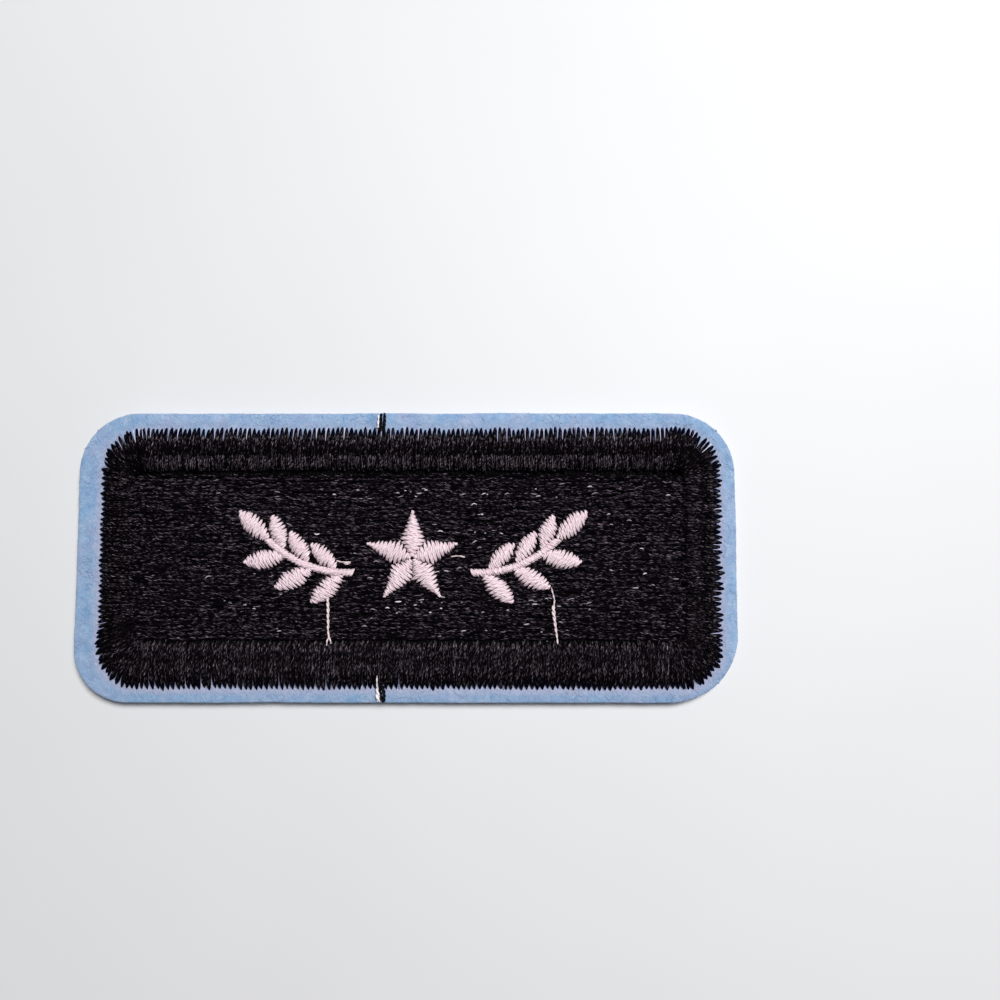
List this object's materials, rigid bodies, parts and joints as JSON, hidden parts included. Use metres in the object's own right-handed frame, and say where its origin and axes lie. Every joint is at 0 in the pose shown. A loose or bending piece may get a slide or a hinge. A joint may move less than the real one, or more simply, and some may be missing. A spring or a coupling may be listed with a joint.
{
  "type": "iron-on patch",
  "caption": "Rounded rectangular felt patch with a raised stitched border, a stitched field and a satin ornament, fixed by a heat-seal film.",
  "frame": {"origin": "middle of the patch's outline, on the surface that it lies on", "axes": "+X along the long side to the right, +Y up the patch, +Z out of the stitched face"},
  "size_m": [0.0772, 0.0338, 0.0027],
  "materials": {
    "heat_seal_film": "dry, slightly dull adhesive film with a fine fabric imprint",
    "felt": "soft light blue craft felt with short loose fibres",
    "black_thread": "black embroidery thread with a soft sheen",
    "pale_thread": "very pale pink embroidery thread with a satin sheen"
  },
  "bodies": {
    "root": {"adhesive_film": "heat_seal_film", "felt_base": "felt", "stitched_field": "black_thread", "satin_border": "black_thread", "star_motif": "pale_thread", "left_sprig": "pale_thread", "right_sprig": "pale_thread"}
  },
  "joints": []
}
